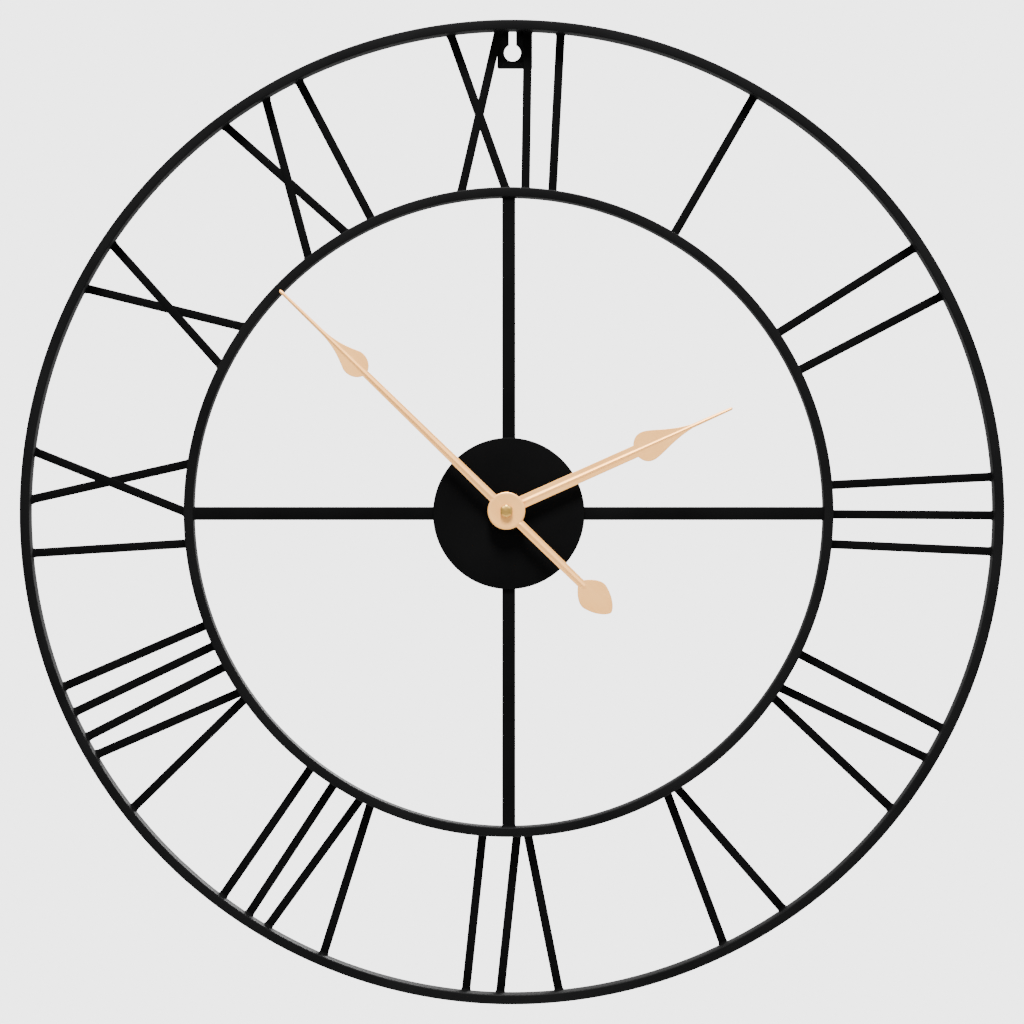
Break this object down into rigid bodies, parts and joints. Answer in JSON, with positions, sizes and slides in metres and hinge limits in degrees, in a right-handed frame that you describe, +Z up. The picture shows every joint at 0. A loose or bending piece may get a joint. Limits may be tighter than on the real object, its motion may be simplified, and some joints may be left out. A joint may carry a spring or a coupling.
{
  "type": "wall clock",
  "caption": "Round open-frame wall clock: two black metal rings, welded bar Roman numerals, four spokes, a centre plate and gold spade hands on a battery movement.",
  "frame": {"origin": "where the axle of the hands meets the wall: the centre of the outer face of the movement's cover, which lies in the wall's plane", "axes": "+Z up, +X to the right as the clock is read, -Y out of the wall towards the reader, +Y into the wall"},
  "size_m": [0.6, 0.0296, 0.6],
  "materials": {
    "black_coat": "satin black powder coat",
    "gold_hands": "satin pale rose gold",
    "brass": "turned brass",
    "steel": "plain plated steel",
    "rubber": "matte",
    "case_plastic": "moulded, fine texture",
    "white_plastic": "moulded acetal",
    "copper_wire": "enamelled copper winding",
    "board": "circuit board lacquer",
    "cell_wrap": "printed sleeve, satin"
  },
  "bodies": {
    "frame": {"battery": "cell_wrap", "brass_washer": "brass", "case_cover": "case_plastic", "centre_disc": "black_coat", "circuit_board": "board", "coil": "copper_wire", "contact_minus": "steel", "contact_plus": "steel", "fixing_nut": "brass", "hanger_plate": "black_coat", "inner_ring": "black_coat", "movement_case": "case_plastic", "numeral_01_i": "black_coat", "numeral_02_i1": "black_coat", "numeral_02_i2": "black_coat", "numeral_03_i1": "black_coat", "numeral_03_i2": "black_coat", "numeral_03_i3": "black_coat", "numeral_04_i": "black_coat", "numeral_04_v_left": "black_coat", "numeral_04_v_right": "black_coat", "numeral_05_v_left": "black_coat", "numeral_05_v_right": "black_coat", "numeral_06_i": "black_coat", "numeral_06_v_left": "black_coat", "numeral_06_v_right": "black_coat", "numeral_07_i1": "black_coat", "numeral_07_i2": "black_coat", "numeral_07_v_left": "black_coat", "numeral_07_v_right": "black_coat", "numeral_08_i1": "black_coat", "numeral_08_i2": "black_coat", "numeral_08_i3": "black_coat", "numeral_08_v": "black_coat", "numeral_09_i": "black_coat", "numeral_09_x": "black_coat", "numeral_10_x": "black_coat", "numeral_11_i": "black_coat", "numeral_11_x": "black_coat", "numeral_12_i1": "black_coat", "numeral_12_i2": "black_coat", "numeral_12_x": "black_coat", "outer_ring": "black_coat", "rubber_washer": "rubber", "spoke_bottom": "black_coat", "spoke_left": "black_coat", "spoke_right": "black_coat", "spoke_top": "black_coat", "stator": "steel"},
    "minute": {"minute_hand": "gold_hands", "cap_nut": "brass", "minute_arbor": "brass"},
    "hour": {"hour_hand": "gold_hands", "hour_wheel": "white_plastic"},
    "motion": {"motion_wheel": "white_plastic"},
    "knob": {"setting_knob": "white_plastic"},
    "third": {"third_wheel": "white_plastic"},
    "seconds": {"seconds_wheel": "white_plastic"},
    "intermediate": {"intermediate_wheel": "white_plastic"},
    "rotor": {"rotor": "steel"}
  },
  "joints": [
    {"name": "minute_turn", "type": "hinge", "parent": "frame", "child": "minute", "pos_m": [0, 0, 0], "axis": [0, 1, 0], "continuous": true},
    {"name": "hour_turn", "type": "hinge", "parent": "frame", "child": "hour", "pos_m": [0, 0, 0], "axis": [0, 1, 0], "continuous": true},
    {"name": "motion_turn", "type": "hinge", "parent": "frame", "child": "motion", "pos_m": [-0.00846, 0, -0.00308], "axis": [0, 1, 0], "continuous": true},
    {"name": "knob_turn", "type": "hinge", "parent": "frame", "child": "knob", "pos_m": [-0.01691, 0, -0.00616], "axis": [0, 1, 0], "continuous": true},
    {"name": "third_turn", "type": "hinge", "parent": "frame", "child": "third", "pos_m": [0.00995, 0, 0.00697], "axis": [0, 1, 0], "continuous": true},
    {"name": "seconds_turn", "type": "hinge", "parent": "frame", "child": "seconds", "pos_m": [0.00818, 0, 0.01701], "axis": [0, 1, 0], "continuous": true},
    {"name": "intermediate_turn", "type": "hinge", "parent": "frame", "child": "intermediate", "pos_m": [-0.00009, 0, 0.01847], "axis": [0, 1, 0], "continuous": true},
    {"name": "rotor_turn", "type": "hinge", "parent": "frame", "child": "rotor", "pos_m": [-0.00836, 0, 0.01701], "axis": [0, 1, 0], "continuous": true}
  ],
  "couplings": [
    {"joint": "hour_turn", "follows": "minute_turn", "ratio": 0.083333},
    {"joint": "motion_turn", "follows": "minute_turn", "ratio": -0.33333},
    {"joint": "knob_turn", "follows": "minute_turn", "ratio": 1},
    {"joint": "third_turn", "follows": "minute_turn", "ratio": -8},
    {"joint": "seconds_turn", "follows": "minute_turn", "ratio": 60},
    {"joint": "intermediate_turn", "follows": "minute_turn", "ratio": -360},
    {"joint": "rotor_turn", "follows": "minute_turn", "ratio": 1800}
  ]
}
